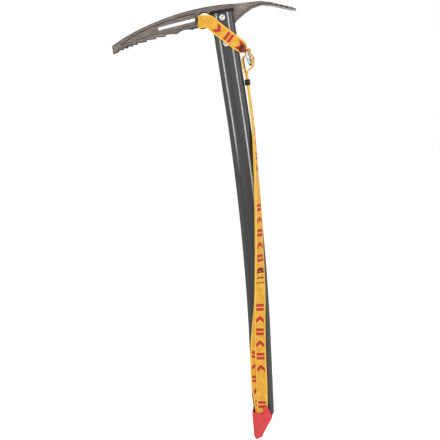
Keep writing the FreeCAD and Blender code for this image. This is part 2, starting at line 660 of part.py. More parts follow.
def make_wrist_bight():
    """Upper wrist loop: both straight legs and the bight that hangs in the ring."""
    turn = math.radians(size("loop_turn"))
    across = Vector(math.sin(turn), math.cos(turn), 0)
    half = size("webbing_pitch") / 2
    wide, narrow = size("webbing_width"), size("bight_width")
    top, low = loop_frame(LOOP_TOP), loop_frame(LOOP_STRAIGHT_END)
    left = [(low.multVec(Vector(-half, 0, 0)), across, wide),
            (top.multVec(Vector(-half, 0, 0)), across, wide)]
    right = [(top.multVec(Vector(half, 0, 0)), across, wide),
             (low.multVec(Vector(half, 0, 0)), across, wide)]
    route = [(46.7, -77.0, wide), (46.3, -69.5, wide * 0.9), (47.2, -63.7, wide * 0.78),
             (50.2, -61.0, narrow), (53.6, -60.3, narrow), (57.4, -60.2, narrow),
             (59.9, -61.1, narrow), (61.2, -64.2, narrow), (61.6, -69.2, narrow),
             (60.6, -74.5, narrow), (57.8, -78.6, narrow), (54.4, -80.6, wide * 0.78),
             (51.5, -82.3, wide * 0.92)]
    ring_turn = math.radians(size("ring_turn"))
    ring_across, slant = Vector(math.sin(ring_turn), math.cos(ring_turn), 0), math.tan(ring_turn)
    bight = [(Vector(x, -(x - LOOP_TOP.x) * slant, z), ring_across, width) for x, z, width in route]
    return shaped("wrist_loop_bight", ribbon(left + bight + right, size("webbing_thickness")))


# each station: length below the eye, offset from the shaft's centreline, depth, turn from face-on
SHARED_STATIONS = [(190, 18.8, -9.2, 86), (214, 17.5, -14.6, 81), (238, 15.9, -17.1, 77),
                   (273, 14.0, -18.1, 66), (309, 11.7, -18.3, 56), (347, 8.8, -18.2, 50),
                   (394, 6.1, -16.4, 32)]
OUTER_STATIONS = [(430, 3.7, -15.7, 14), (460, 1.6, -14.7, 5), (503, 0.1, -14.4, 0),
                  (550, 0.5, -14.4, 0), (578.25, -0.3, -14.4, 0), (602.55, -1.2, -14.05, 0)]
INNER_STATIONS = [(430, 3.0, -13.6, 13), (460, -1.8, -12.8, 5), (503, -7.2, -12.5, 0),
                  (550, -8.6, -12.5, 0), (578.25, -4.8, -12.5, 0), (602.55, -2.6, -12.15, 0)]


def leg_place(drop, offset, depth, turn):
    """Centre, direction across and width of the webbing at one station."""
    frame = shaft_frame(drop)
    angle = math.radians(turn)
    across = frame.Rotation.multVec(Vector(math.cos(angle), 0, 0)) + Vector(0, math.sin(angle), 0)
    return frame.multVec(Vector(offset, depth, 0)), across, size("webbing_width")


def leg_stations(side, own):
    """Stations of one leg: first stacked with the other leg, then on its own."""
    turn = math.radians(size("loop_turn"))
    across = Vector(math.sin(turn), math.cos(turn), 0)
    half = side * size("webbing_pitch") / 2
    straight = loop_frame(LOOP_STRAIGHT_END)
    stations = [(straight.multVec(Vector(half, 0, -size("loose_gap") / 3)), across, size("webbing_width")),
                (straight.multVec(Vector(half, 0, -3)), across, size("webbing_width"))]
    for drop, offset, depth, angle in SHARED_STATIONS:
        centre, across, width = leg_place(drop, offset, depth, angle)
        out = Vector(math.sin(math.radians(angle)), -math.cos(math.radians(angle)), 0)
        stations.append((centre + out * half, across, width))
    return stations + [leg_place(*station) for station in own]


def make_leg(name, side, own):
    """One leg of the wrist loop, from the straight stretch down to the cover."""
    return shaped(name, ribbon(leg_stations(side, own), size("webbing_thickness")))


def make_loop_end():
    """The wrist loop's lower bight, tucked into the cover's pocket."""
    thick, half = size("webbing_thickness") / 2, size("webbing_width") / 2
    front, back, middle, top, turn = -14.05, -12.15, -1.9, -1.5, -2.9
    corners = [(front - thick, top), (front - thick, turn), (front - 0.25, turn - 1.0),
               ((front + back) / 2, turn - 1.45), (back + 0.25, turn - 1.0), (back + thick, turn),
               (back + thick, top), (back - thick, top), (back - thick, turn + 0.3),
               (front + thick, turn + 0.3), (front + thick, top)]
    piece = shaped("wrist_loop_end", prism_along_x(corners, middle - half, middle + half))
    piece.Placement = tail_frame
    return piece


def make_loop_stitches():
    """Three bar tacks that sew the wrist loop closed, on the outer leg's face."""
    stations = leg_stations(1, OUTER_STATIONS)
    near, far = stations[7], stations[8]
    stitches = []
    for share in (0.526, 0.76, 0.93):
        across = near[1] * (1 - share) + far[1] * share
        along = (far[0] - near[0]).normalize()
        out = along.cross(across).normalize()
        if out.y > 0:
            out = out * -1
        lift = size("webbing_thickness") / 2 + size("tack_height") / 2 + size("loop_tack_clear")
        middle = near[0] + (far[0] - near[0]) * share + out * lift
        ends = [(middle - along * 0.9, across, 11.0), (middle + along * 0.9, across, 11.0)]
        stitches.append(ribbon(ends, size("tack_height")))
    return shaped("wrist_loop_stitching", Part.makeCompound(stitches))


def make_keeper():
    """Black rubber keeper that slides on the two straight legs."""
    run = LOOP_STRAIGHT_END - LOOP_TOP
    share = (size("keeper_z") - LOOP_TOP.z) / run.z
    body = new_body("keeper", loop_frame(LOOP_TOP + run * share))
    half_x = "($webbing_pitch / 2 + $webbing_thickness / 2 + $loose_gap)"
    half_y = "($webbing_width / 2 + $loose_gap)"
    outer = rectangle(body, "keeper_outside", "XY_Plane", f"-{half_x} - $keeper_wall",
                      f"{half_x} + $keeper_wall", f"-{half_y} - $keeper_wall",
                      f"{half_y} + $keeper_wall")
    pad(body, "keeper_band", outer, "$keeper_height")
    inner = rectangle(body, "keeper_inside", "XY_Plane", f"-{half_x}", half_x, f"-{half_y}", half_y)
    pocket(body, "keeper_slot", inner, "2 * $keeper_height")
    return body


# ---------------------------------------------------------------- assembly
def through_shaft(height):
    """Place on the upper shaft's axis at a height."""
    return Placement(Vector(size("shaft_offset"), 0, size(height)), Rotation())


pieces = [
    make_head(), trim_shaft_end(make_shaft()), make_cap("shaft_cap_front", -1),
    make_cap("shaft_cap_back", 1), make_rivet("upper_rivet", through_shaft("upper_rivet_z")),
    make_rivet("lower_rivet", through_shaft("lower_rivet_z")), make_plug(), make_spike(),
    make_rivet("spike_rivet", tail_frame * Placement(Vector(0, 0, size("spike_rivet_z")), Rotation())),
    make_cover(), make_sling(), make_sling_stitches(), make_ring(), make_wrist_bight(),
    make_leg("wrist_leg_inner", -1, INNER_STATIONS), make_leg("wrist_leg_outer", 1, OUTER_STATIONS),
    make_loop_end(), make_loop_stitches(), make_keeper(),
]
doc.recompute()

for item in doc.Objects:
    assert not {"Invalid", "Error"} & set(item.State), f"{item.Label} failed: {item.State}"
for piece in pieces:
    assert not piece.Shape.isNull() and piece.Shape.isValid(), f"{piece.Label} has no valid shape"

os.makedirs("parts", exist_ok=True)
for piece in pieces:
    piece.Shape.exportStep(f"parts/{piece.Label}.step")
    print(piece.Label, len(piece.Shape.Solids), round(piece.Shape.Volume, 1))
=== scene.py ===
import math

import bmesh
import bpy
from mathutils import Matrix, Vector


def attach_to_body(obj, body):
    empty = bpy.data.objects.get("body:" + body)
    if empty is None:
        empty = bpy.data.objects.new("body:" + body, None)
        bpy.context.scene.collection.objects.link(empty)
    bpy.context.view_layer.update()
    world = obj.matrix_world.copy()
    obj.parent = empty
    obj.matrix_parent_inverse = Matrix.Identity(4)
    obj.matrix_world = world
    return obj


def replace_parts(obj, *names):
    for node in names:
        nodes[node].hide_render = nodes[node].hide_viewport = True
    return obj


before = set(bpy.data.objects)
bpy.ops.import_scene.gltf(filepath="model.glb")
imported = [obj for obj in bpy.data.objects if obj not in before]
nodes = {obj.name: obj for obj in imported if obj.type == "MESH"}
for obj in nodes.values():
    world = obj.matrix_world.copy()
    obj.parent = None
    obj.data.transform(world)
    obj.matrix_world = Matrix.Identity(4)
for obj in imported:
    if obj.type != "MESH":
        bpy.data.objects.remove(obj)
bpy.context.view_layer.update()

millimetre = 0.001

# ------------------------------------------------------------------ camera
# A long lens a metre and a half away looks a little down on the broad side of the axe.
# It is rolled, so the axe leans over with its head up at the left.
camera_target = Vector((-0.02448, 0.0, -0.29603))
camera_distance = 1.55
azimuth, elevation, roll = math.radians(6.0), math.radians(7.31), math.radians(-9.17)

toward = Vector((math.sin(azimuth) * math.cos(elevation),
                 -math.cos(azimuth) * math.cos(elevation), math.sin(elevation)))
level = Vector((math.cos(azimuth), math.sin(azimuth), 0))
upright = toward.cross(level)
right = level * math.cos(roll) + upright * math.sin(roll)
up = upright * math.cos(roll) - level * math.sin(roll)

bpy.ops.object.camera_add(location=camera_target + toward * camera_distance)
camera = bpy.context.object
turn = Matrix((right, up, toward)).transposed()
camera.rotation_euler = turn.to_euler()
camera.data.sensor_width, camera.data.lens = 36, 84.17
bpy.context.scene.camera = camera
bpy.context.scene.view_settings.view_transform = "Standard"


# ------------------------------------------------------------------ floor and light
# A pale paper floor lies below and behind the axe, and three soft lamps light the front.
# The sky is an even soft white, so nothing on the axe falls into black.
bpy.ops.mesh.primitive_plane_add(size=1, location=(0, 0, 0))
floor = bpy.context.object
floor.name = "floor"
bpy.ops.object.mode_set(mode="EDIT")
bpy.ops.transform.resize(value=(9, 9, 1))
bpy.ops.transform.translate(value=(0, 1.5, -0.72))
bpy.ops.object.mode_set(mode="OBJECT")
paper = bpy.data.materials.new("pale_paper")
paper.use_nodes = True
paper_shader = paper.node_tree.nodes["Principled BSDF"]
paper_shader.inputs["Base Color"].default_value = (0.99, 0.99, 0.99, 1)
paper_shader.inputs["Roughness"].default_value = 0.9
floor.data.materials.append(paper)

world = bpy.data.worlds.new("studio")
bpy.context.scene.world = world
world.use_nodes = True
sky = world.node_tree.nodes["Background"]
sky.inputs["Color"].default_value = (1, 1, 1, 1)
sky.inputs["Strength"].default_value = 1.0


def soft_lamp(name, place, aim, size, power):
    """A square lamp of soft light, aimed at a point."""
    bpy.ops.object.light_add(type="AREA", location=place)
    lamp = bpy.context.object
    lamp.name = name
    lamp.rotation_euler = (Vector(aim) - Vector(place)).to_track_quat("-Z", "Y").to_euler()
    lamp.data.size = size
    lamp.data.energy = power


soft_lamp("lamp_left", (-1.1, -1.3, 0.7), (0, 0, -0.2), 1.0, 11)
soft_lamp("lamp_right", (1.1, -1.2, 0.3), (0, 0, -0.3), 0.5, 13)
soft_lamp("lamp_top", (0.1, -0.3, 1.3), (0, 0, -0.1), 1.0, 12)


# ------------------------------------------------------------------ shaft
# Extruded alloy tube, a rounded rectangle 33 by 21 mm with one long slight bend, anodised
# graphite. Two flutes in each broad face are bare metal, painted bright near the head as a
# highlight that fades out further down.
shaft_offset, straight_drop, bend_length, tail_length = 27.0, 115.0, 386.0, 101.1
bend_turn = math.radians(6.32)
shaft_end = straight_drop + bend_length + tail_length
merge_distance, flat_angle = 0.00001, math.radians(0.6)
# a flute's faces lie between these depths in millimetres, and face sideways or straight out
flute_floor, flute_wall, wall_facing, floor_facing = 9.75, 10.2, 0.15, 0.99
# the painted flute highlight gives way to graphite below a sloping line, over a length in metres
highlight_fade_slope, highlight_fade_level, highlight_fade_length = -4.6, -0.159, 0.075


def shaft_place(drop, offset, depth):
    """A point beside the shaft's centreline and the direction across the shaft there."""
    radius = bend_length / bend_turn
    along = min(max(drop - straight_drop, 0), bend_length) / radius
    straight = min(drop, straight_drop)
    tail = max(drop - straight_drop - bend_length, 0)
    centre = Vector((shaft_offset - radius * (1 - math.cos(along)) - tail * math.sin(along), 0,
                     -straight - radius * math.sin(along) - tail * math.cos(along)))
    across = Vector((math.cos(along), 0, -math.sin(along)))
    return centre + across * offset + Vector((0, depth, 0)), across


def node_maker(material):
    """A short way to add a node to a material and link what goes into it."""
    tree = material.node_tree

    def add(kind, inputs=(), **settings):
        made = tree.nodes.new(kind)
        for name, setting in settings.items():
            setattr(made, name, setting)
        for name, source in dict(inputs).items():
            socket = made.inputs[name]
            if isinstance(source, bpy.types.NodeSocket):
                tree.links.new(source, socket)
            else:
                socket.default_value = source
        return made

    return add


def new_material(name, colour, roughness, metallic=0.0):
    """A principled material whose fixed settings are on the shader itself."""
    material = bpy.data.materials.new(name)
    material.use_nodes = True
    shader = material.node_tree.nodes["Principled BSDF"]
    shader.inputs["Base Color"].default_value = (*colour, 1)
    shader.inputs["Roughness"].default_value = roughness
    shader.inputs["Metallic"].default_value = metallic
    return material, shader, node_maker(material)


def attach(material, source, shader, name):
    """Link a made value or colour to one of the shader's sockets."""
    material.node_tree.links.new(source, shader.inputs[name])


def sum_of(add, operation, first, second, third=None):
    """One Math node's result."""
    node = add("ShaderNodeMath", {0: first, 1: second}, operation=operation)
    if third is not None:
        node.inputs[2].default_value = third
    return node.outputs[0]


def make_active(piece):
    """Select one object alone, for the operators that follow."""
    bpy.ops.object.select_all(action="DESELECT")
    piece.select_set(True)
    bpy.context.view_layer.objects.active = piece


def merged_copy(node, name, *materials):
    """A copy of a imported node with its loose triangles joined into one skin."""
    mesh = nodes[node].data.copy()
    mesh.materials.clear()
    for material in materials:
        mesh.materials.append(material)
    piece = bpy.data.objects.new(name, mesh)
    bpy.context.scene.collection.objects.link(piece)
    make_active(piece)
    bpy.ops.object.mode_set(mode="EDIT")
    bpy.ops.mesh.select_all(action="SELECT")
    bpy.ops.mesh.remove_doubles(threshold=merge_distance)
    bpy.ops.mesh.dissolve_limited(angle_limit=flat_angle)
    bpy.ops.object.mode_set(mode="OBJECT")
    if piece.data.has_custom_normals:
        bpy.ops.mesh.customdata_custom_splitnormals_clear()
    return piece


def finish_piece(piece, node, body, angle=40):
    """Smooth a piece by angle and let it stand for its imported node."""
    make_active(piece)
    bpy.ops.object.shade_smooth_by_angle(angle=math.radians(angle))
    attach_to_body(piece, body)
    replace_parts(piece, node)


def mixed(add, factor, first, second, blend="MIX"):
    """Two colours mixed by a factor."""
    made = add("ShaderNodeMix", {"Factor": factor, "A": first, "B": second}, data_type="RGBA",
               blend_type=blend)
    return made.outputs["Result"]


def noise_of(add, place, scale, detail):
    """A noise texture's value over the surface."""
    made = add("ShaderNodeTexNoise", {"Vector": place, "Scale": scale, "Detail": detail})
    return made.outputs["Fac"]


def speckled(add, place, scale, dark, light, low=0.3, high=0.7, detail=5.0):
    """A colour that wanders between two tones over the surface."""
    noise = noise_of(add, place, scale, detail)
    ramp = add("ShaderNodeValToRGB", {"Fac": noise})
    ramp.color_ramp.elements[0].position, ramp.color_ramp.elements[1].position = low, high
    ramp.color_ramp.elements[0].color = (*dark, 1)
    ramp.color_ramp.elements[1].color = (*light, 1)
    return ramp.outputs["Color"], noise


graphite, shader, add = new_material("graphite_anodising", (0.035, 0.033, 0.032), 0.42, 0.35)
place = add("ShaderNodeTexCoord").outputs["Object"]
drawn = add("ShaderNodeMapping", {"Vector": place, "Scale": (900, 900, 6)}).outputs[0]
colour, tone = speckled(add, drawn, 1.0, (0.024, 0.023, 0.022), (0.044, 0.042, 0.040))
attach(graphite, colour, shader, "Base Color")
rough = add("ShaderNodeMapRange", {"Value": tone, "To Min": 0.36, "To Max": 0.52})
attach(graphite, rough.outputs[0], shader, "Roughness")
bump = add("ShaderNodeBump", {"Height": tone, "Distance": 0.00003, "Strength": 0.35})
attach(graphite, bump.outputs["Normal"], shader, "Normal")

# flute colour: bare metal painted bright as a highlight near the head, fading to graphite below a
# sloping line
bare_flute_and_highlight, shader, add = new_material("bare_flute_and_highlight", (0.6, 0.59, 0.57), 0.35, 0.6)
place = add("ShaderNodeTexCoord").outputs["Object"]
height = add("ShaderNodeSeparateXYZ", {"Vector": place})
highlight_fade_end = sum_of(add, "MULTIPLY_ADD", height.outputs["X"], highlight_fade_slope, highlight_fade_level)
highlight_fade = add("ShaderNodeMapRange", {"Value": sum_of(add, "SUBTRACT", height.outputs["Z"], highlight_fade_end),
                                  "From Min": 0.0, "From Max": highlight_fade_length})
colour, tone = speckled(add, place, 260.0, (0.34, 0.33, 0.32), (0.50, 0.49, 0.475))
highlight_faded = mixed(add, highlight_fade.outputs[0], (0.040, 0.037, 0.036, 1), colour)
attach(bare_flute_and_highlight, highlight_faded, shader, "Base Color")

shaft = merged_copy("shaft", "shaft_tube", graphite, bare_flute_and_highlight)
finish_piece(shaft, "shaft", "axe")
# faces inside the flutes take the flute colour with its painted highlight
for face in shaft.data.polygons:
    deep, facing = abs(face.center.y) / millimetre, abs(face.normal.y)
    if flute_floor < deep < flute_wall and (facing < wall_facing or facing > floor_facing):
        face.material_index = 1


# ------------------------------------------------------------------ head
# One forging of alloy steel: curved toothed pick, sunk panel and window, eye, tang between
# the shaft's walls, and an adze fanned out across it. Ground bevels run along its outline;
# they and the sunk panel's step walls are coloured near-black, as painted shade.
sharp_angle = math.radians(38)
# in millimetres: half the plate, where the adze starts, and the pick's panel and spine
plate_half, adze_start, panel_end, spine_low = 3.4, 44, -14, -17
adze_weight, panel_weight = 0.35, 0.55
# the step down to the sunk panel, whose walls take the painted shade: its end in metres,
# its faces' tilt, its depths in millimetres
step_end, step_facing, step_low, step_high = -0.012, 0.6, 2.15, 3.45


def weighted_bevel(piece, width, segments, weigh, material=-1):
    """Bevel the edges of a piece, each by its own weight."""
    mesh = bmesh.new()
    mesh.from_mesh(piece.data)
    layer = mesh.edges.layers.float.get("bevel_weight_edge")
    layer = layer or mesh.edges.layers.float.new("bevel_weight_edge")
    for edge in mesh.edges:
        if len(edge.link_faces) == 2:
            edge[layer] = weigh(edge)
    mesh.to_mesh(piece.data)
    mesh.free()
    modifier = piece.modifiers.new("ground_edges", "BEVEL")
    modifier.width = width * millimetre
    modifier.segments = segments
    modifier.limit_method = "WEIGHT"
    modifier.use_clamp_overlap = False
    modifier.material = material
    make_active(piece)
    bpy.ops.object.modifier_apply(modifier=modifier.name)


def forged_edges(edge):
    """Wide bevels along the plate's outline, narrow ones round the adze."""
    angle = edge.calc_face_angle_signed(0)
    middle = (edge.verts[0].co + edge.verts[1].co) / 2 / millimetre
    if angle < sharp_angle:
        return 0.0
    if middle.x > adze_start:
        return adze_weight
    if abs(middle.y) < plate_half:
        return 0.0
    if middle.x < panel_end and spine_low < middle.z:
        return panel_weight
    return 1.0


steel, shader, add = new_material("forged_steel", (0.19, 0.168, 0.15), 0.42, 0.85)
place = add("ShaderNodeTexCoord").outputs["Object"]
grain = add("ShaderNodeMapping", {"Vector": place, "Scale": (60, 400, 400)}).outputs[0]
colour, tone = speckled(add, grain, 1.0, (0.118, 0.101, 0.088), (0.215, 0.184, 0.161))
clouds, cloud = speckled(add, place, 55.0, (0.72, 0.70, 0.68), (1.0, 1.0, 1.0), 0.25, 0.65)
attach(steel, mixed(add, 0.6, colour, clouds, "MULTIPLY"), shader, "Base Color")
rough = add("ShaderNodeMapRange", {"Value": cloud, "To Min": 0.32, "To Max": 0.5})
attach(steel, rough.outputs[0], shader, "Roughness")
bump = add("ShaderNodeBump", {"Height": tone, "Distance": 0.00004, "Strength": 0.4})
attach(steel, bump.outputs["Normal"], shader, "Normal")

# near-black painted shade for the bevels of the head and spike and the panel's step walls, with
# faint streaks
edge_shade, shader, add = new_material("painted_edge_shade", (0.02, 0.018, 0.017), 0.45, 0.4)
place = add("ShaderNodeTexCoord").outputs["Object"]
streaks = add("ShaderNodeMapping", {"Vector": place, "Scale": (200, 900, 900)}).outputs[0]
colour, tone = speckled(add, streaks, 1.0, (0.010, 0.009, 0.0085), (0.026, 0.024, 0.022))
attach(edge_shade, colour, shader, "Base Color")
bump = add("ShaderNodeBump", {"Height": tone, "Distance": 0.00003, "Strength": 0.4})
attach(edge_shade, bump.outputs["Normal"], shader, "Normal")

head = merged_copy("head", "head_forging", steel, edge_shade)
weighted_bevel(head, 1.5, 1, forged_edges, material=1)
# the walls of the step down to the sunk panel get the painted shade as well
for face in head.data.polygons:
    deep = abs(face.center.y) / millimetre
    on_step = face.center.x < step_end and step_low < deep < step_high
    if on_step and abs(face.normal.y) < step_facing:
        face.material_index = 1
finish_piece(head, "head", "axe", angle=35)


# ------------------------------------------------------------------ shaft caps
# Black moulded nylon fitting in two halves, pushed over the shaft's open top on each side
# of the head's plate. It closes the tube and keeps the tang from rattling.
black_plastic, shader, add = new_material("black_nylon", (0.004, 0.004, 0.004), 0.55)
shader.inputs["Specular IOR Level"].default_value = 0.2
place = add("ShaderNodeTexCoord").outputs["Object"]
colour, tone = speckled(add, place, 700.0, (0.002, 0.002, 0.002), (0.007, 0.007, 0.007))
attach(black_plastic, colour, shader, "Base Color")
bump = add("ShaderNodeBump", {"Height": tone, "Distance": 0.00003, "Strength": 0.5})
attach(black_plastic, bump.outputs["Normal"], shader, "Normal")


def moulded_edges(edge):
    """An even round on every outer edge."""
    return 1.0 if edge.calc_face_angle_signed(0) > sharp_angle else 0.0


for side in ("front", "back"):
    cap = merged_copy(f"shaft_cap_{side}", f"cap_{side}", black_plastic)
    weighted_bevel(cap, 0.4, 2, moulded_edges)
    finish_piece(cap, f"shaft_cap_{side}", "axe")


# ------------------------------------------------------------------ rivets
# Three hollow steel rivets go right through: two hold the head, one holds the spike and its
# plug. Their ends are rolled over into shallow domed rings, polished by the press.
rivet_steel, shader, add = new_material("rolled_rivet_steel", (0.62, 0.61, 0.59), 0.28, 0.9)
place = add("ShaderNodeTexCoord").outputs["Object"]
colour, tone = speckled(add, place, 900.0, (0.42, 0.41, 0.40), (0.78, 0.77, 0.75))
attach(rivet_steel, colour, shader, "Base Color")
rough = add("ShaderNodeMapRange", {"Value": tone, "To Min": 0.2, "To Max": 0.4})
attach(rivet_steel, rough.outputs[0], shader, "Roughness")

for rivet in ("upper_rivet", "lower_rivet", "spike_rivet"):
    rolled = merged_copy(rivet, rivet + "_rolled", rivet_steel)
    weighted_bevel(rolled, 0.3, 3, moulded_edges)
    finish_piece(rolled, rivet, "axe")


# ------------------------------------------------------------------ plug and spike
# A nylon plug fills the foot of the tube, and its flange covers the cut end. The steel
# spike's flat tang is clamped in it by the lowest rivet.
plug = merged_copy("end_plug", "foot_plug", black_plastic)
weighted_bevel(plug, 0.3, 2, moulded_edges)
finish_piece(plug, "end_plug", "axe")

spike = merged_copy("spike", "spike_blade", steel, edge_shade)
# the spike's bevelled edges take the near-black painted shade
weighted_bevel(spike, 0.5, 1, moulded_edges, material=1)
finish_piece(spike, "spike", "axe")


# ------------------------------------------------------------------ spike cover
# Soft red vinyl cup, moulded in one piece with a pocket in front that holds the wrist
# loop's end. It is pulled over the spike and grips by its own spring.
red_vinyl, shader, add = new_material("red_vinyl", (0.47, 0.05, 0.045), 0.5)
shader.inputs["Specular IOR Level"].default_value = 0.35
place = add("ShaderNodeTexCoord").outputs["Object"]
colour, tone = speckled(add, place, 120.0, (0.36, 0.016, 0.021), (0.47, 0.028, 0.032))
attach(red_vinyl, colour, shader, "Base Color")
fine = noise_of(add, place, 1600.0, 2.0)
bump = add("ShaderNodeBump", {"Height": fine, "Distance": 0.00005, "Strength": 0.4})
attach(red_vinyl, bump.outputs["Normal"], shader, "Normal")
rough = add("ShaderNodeMapRange", {"Value": tone, "To Min": 0.42, "To Max": 0.6})
attach(red_vinyl, rough.outputs[0], shader, "Roughness")

cover = merged_copy("spike_cover", "cover_cup", red_vinyl)
weighted_bevel(cover, 0.7, 3, moulded_edges)
finish_piece(cover, "spike_cover", "cover")


# ------------------------------------------------------------------ head sling
# A short loop of flat webbing goes through the eye, over both broad faces of the shaft and
# round the ring, and its two legs are sewn together beside the shaft.
webbing_width, webbing_thickness, webbing_pitch = 16.5, 1.5, 1.9


def smooth_line(points):
    """Points along the smooth line that a route of a few points guides."""
    curve = bpy.data.curves.new("route", "CURVE")
    curve.dimensions = "3D"
    spline = curve.splines.new("NURBS")
    spline.points.add(len(points) - 1)
    for control, point in zip(spline.points, points):
        control.co = (*(point * millimetre), 1)
    spline.order_u = 3
    spline.use_endpoint_u = True
    spline.resolution_u = 10
    holder = bpy.data.objects.new("route", curve)
    bpy.context.scene.collection.objects.link(holder)
    bpy.context.view_layer.update()
    mesh = bpy.data.meshes.new_from_object(holder)
    line = [vertex.co.copy() for vertex in mesh.vertices]
    bpy.data.objects.remove(holder)
    bpy.data.meshes.remove(mesh)
    return line


def between(share, knots, values):
    """The value at a share of the way along, between the knots on each side of it."""
    for index in range(len(knots) - 1):
        if share <= knots[index + 1]:
            part = (share - knots[index]) / (knots[index + 1] - knots[index])
            return values[index] * (1 - part) + values[index + 1] * part
    return values[-1]


# half outline of the woven strip: share of its width, share of its thickness
selvedge = [(0.5, 0.0), (0.493, 0.26), (0.475, 0.42), (0.45, 0.5), (0.425, 0.44), (0.4, 0.47),
            (0.25, 0.49), (0.08, 0.5)]


def webbing(name, stations, start=0.0):
    """A flat woven strip along stations of centre, direction across and width, in millimetres."""
    line = smooth_line([centre for centre, across, width in stations])
    spans = len(stations) - 2
    knots = [0.0] + [index + 0.5 for index in range(spans)] + [float(spans)]
    outline = selvedge + [(-aside, lift) for aside, lift in reversed(selvedge)]
    outline += [(aside, -lift) for aside, lift in reversed(outline[1:-1])]
    mesh = bpy.data.meshes.new(name)
    made = bmesh.new()
    along_layer = made.verts.layers.float.new("along")
    across_layer = made.verts.layers.float.new("across")
    rings, places, travelled = [], [], start
    for index, centre in enumerate(line):
        share = spans * index / (len(line) - 1)
        ahead = line[min(index + 1, len(line) - 1)] - line[max(index - 1, 0)]
        ahead.normalize()
        across = between(share, knots, [station[1] for station in stations])
        across = (across - ahead * across.dot(ahead)).normalized()
        width = between(share, knots, [station[2] for station in stations]) * millimetre
        out = ahead.cross(across) * webbing_thickness * millimetre
        if index:
            travelled += (centre - line[index - 1]).length / millimetre
        ring = []
        for aside, lift in outline:
            vertex = made.verts.new(centre + across * (aside * width) + out * lift)
            vertex[along_layer] = travelled
            vertex[across_layer] = aside * webbing_width
            ring.append(vertex)
        rings.append(ring)
        places.append((centre, ahead, across, out.normalized()))
    for first, second in zip(rings, rings[1:]):
        for index in range(len(outline)):
            after = (index + 1) % len(outline)
            made.faces.new((first[index], first[after], second[after], second[index]))
    made.faces.new(rings[0])
    made.faces.new(list(reversed(rings[-1])))
    bmesh.ops.recalc_face_normals(made, faces=made.faces)
    made.to_mesh(mesh)
    made.free()
    piece = bpy.data.objects.new(name, mesh)
    bpy.context.scene.collection.objects.link(piece)
    mesh.shade_smooth()
    return piece, places


# the woven mark within one cell, in millimetres along the webbing and out from its middle
bar_middles, bar_half = (4.2, 10.6), 2.2
chevron_middle, chevron_half, chevron_slope = 4.4, 3.1, 0.95
motif_half_width, dark_band_half_width, selvedge_from, selvedge_to = 5.9, 7.1, 7.0, 7.7
cells_repeated, last_woven_cell = 8.0, 5.5
wear_spread, wear_least, row_turns, column_turns, fibre_relief = 0.4, 0.76, 6.3, 9.0, 0.8


def webbing_material(name, phase, pitch, dark_band_at, dark_band_half):
    """Golden woven polyester with groups of six red marks, bars and chevrons by turns."""
    material, shader, add = new_material(name, (0.53, 0.29, 0.025), 0.72)
    shader.inputs["Sheen Weight"].default_value = 0.08
    shader.inputs["Sheen Roughness"].default_value = 0.45
    shader.inputs["Specular IOR Level"].default_value = 0.3
    along = add("ShaderNodeAttribute", attribute_name="along").outputs["Fac"]
    across = add("ShaderNodeAttribute", attribute_name="across").outputs["Fac"]
    place = add("ShaderNodeTexCoord").outputs["Object"]
    side = sum_of(add, "ABSOLUTE", across, 0.0)
    cloud = noise_of(add, place, 140.0, 4.0)
    fibres = noise_of(add, place, 1500.0, 2.0)
    golden = add("ShaderNodeValToRGB", {"Fac": cloud})
    golden.color_ramp.elements[0].position = 0.3
    golden.color_ramp.elements[0].color = (0.42, 0.195, 0.013, 1)
    golden.color_ramp.elements[1].position = 0.72
    golden.color_ramp.elements[1].color = (0.56, 0.300, 0.030, 1)
    colour = golden.outputs["Color"]
    steps = sum_of(add, "ADD", along, phase)
    cell = sum_of(add, "DIVIDE", steps, pitch)
    number = sum_of(add, "FLOOR", cell, 0.0)
    inside = sum_of(add, "MULTIPLY", sum_of(add, "SUBTRACT", cell, number), pitch)
    turn_of = sum_of(add, "PINGPONG", number, 1.0)
    in_group = sum_of(add, "LESS_THAN", sum_of(add, "FLOORED_MODULO", number, cells_repeated),
                      last_woven_cell)
    pointed = sum_of(add, "SUBTRACT", inside, sum_of(add, "MULTIPLY", side, chevron_slope))
    chevron = sum_of(add, "COMPARE", pointed, chevron_middle, chevron_half)
    bars = sum_of(add, "MAXIMUM", *[sum_of(add, "COMPARE", inside, middle, bar_half)
                                    for middle in bar_middles])
    shape = add("ShaderNodeMix", {"Factor": turn_of, 2: bars, 3: chevron}).outputs[0]
    within = sum_of(add, "LESS_THAN", side, motif_half_width)
    mask = sum_of(add, "MULTIPLY", sum_of(add, "MULTIPLY", shape, within), in_group)
    wear = sum_of(add, "ADD", sum_of(add, "MULTIPLY", fibres, wear_spread), wear_least)
    worn = sum_of(add, "MULTIPLY", mask, wear)
    colour = mixed(add, worn, colour, (0.30, 0.008, 0.012, 1))
    edge = add("ShaderNodeMapRange", {"Value": side, "From Min": selvedge_from,
                                      "From Max": selvedge_to})
    colour = mixed(add, edge.outputs[0], colour, (0.66, 0.40, 0.055, 1))
    # a dark red band across the strip at one place along it: on the wrist loop it is painted
    # shade where the lapped end of the outer leg steps down; on the sling the same band darkens a
    # stretch of the strip
    dark_band = sum_of(add, "MULTIPLY", sum_of(add, "COMPARE", along, dark_band_at, dark_band_half),
                  sum_of(add, "LESS_THAN", side, dark_band_half_width))
    colour = mixed(add, dark_band, colour, (0.20, 0.022, 0.012, 1))
    attach(material, colour, shader, "Base Color")
    rows = sum_of(add, "SINE", sum_of(add, "MULTIPLY", along, row_turns), 0.0)
    columns = sum_of(add, "SINE", sum_of(add, "MULTIPLY", across, column_turns), 0.0)
    weave = sum_of(add, "ADD", sum_of(add, "MULTIPLY", rows, columns),
                   sum_of(add, "MULTIPLY", fibres, fibre_relief))
    bump = add("ShaderNodeBump", {"Height": weave, "Distance": 0.00012, "Strength": 0.6})
    attach(material, bump.outputs["Normal"], shader, "Normal")
    rough = add("ShaderNodeMapRange", {"Value": cloud, "To Min": 0.62, "To Max": 0.85})
    attach(material, rough.outputs[0], shader, "Roughness")
    return material


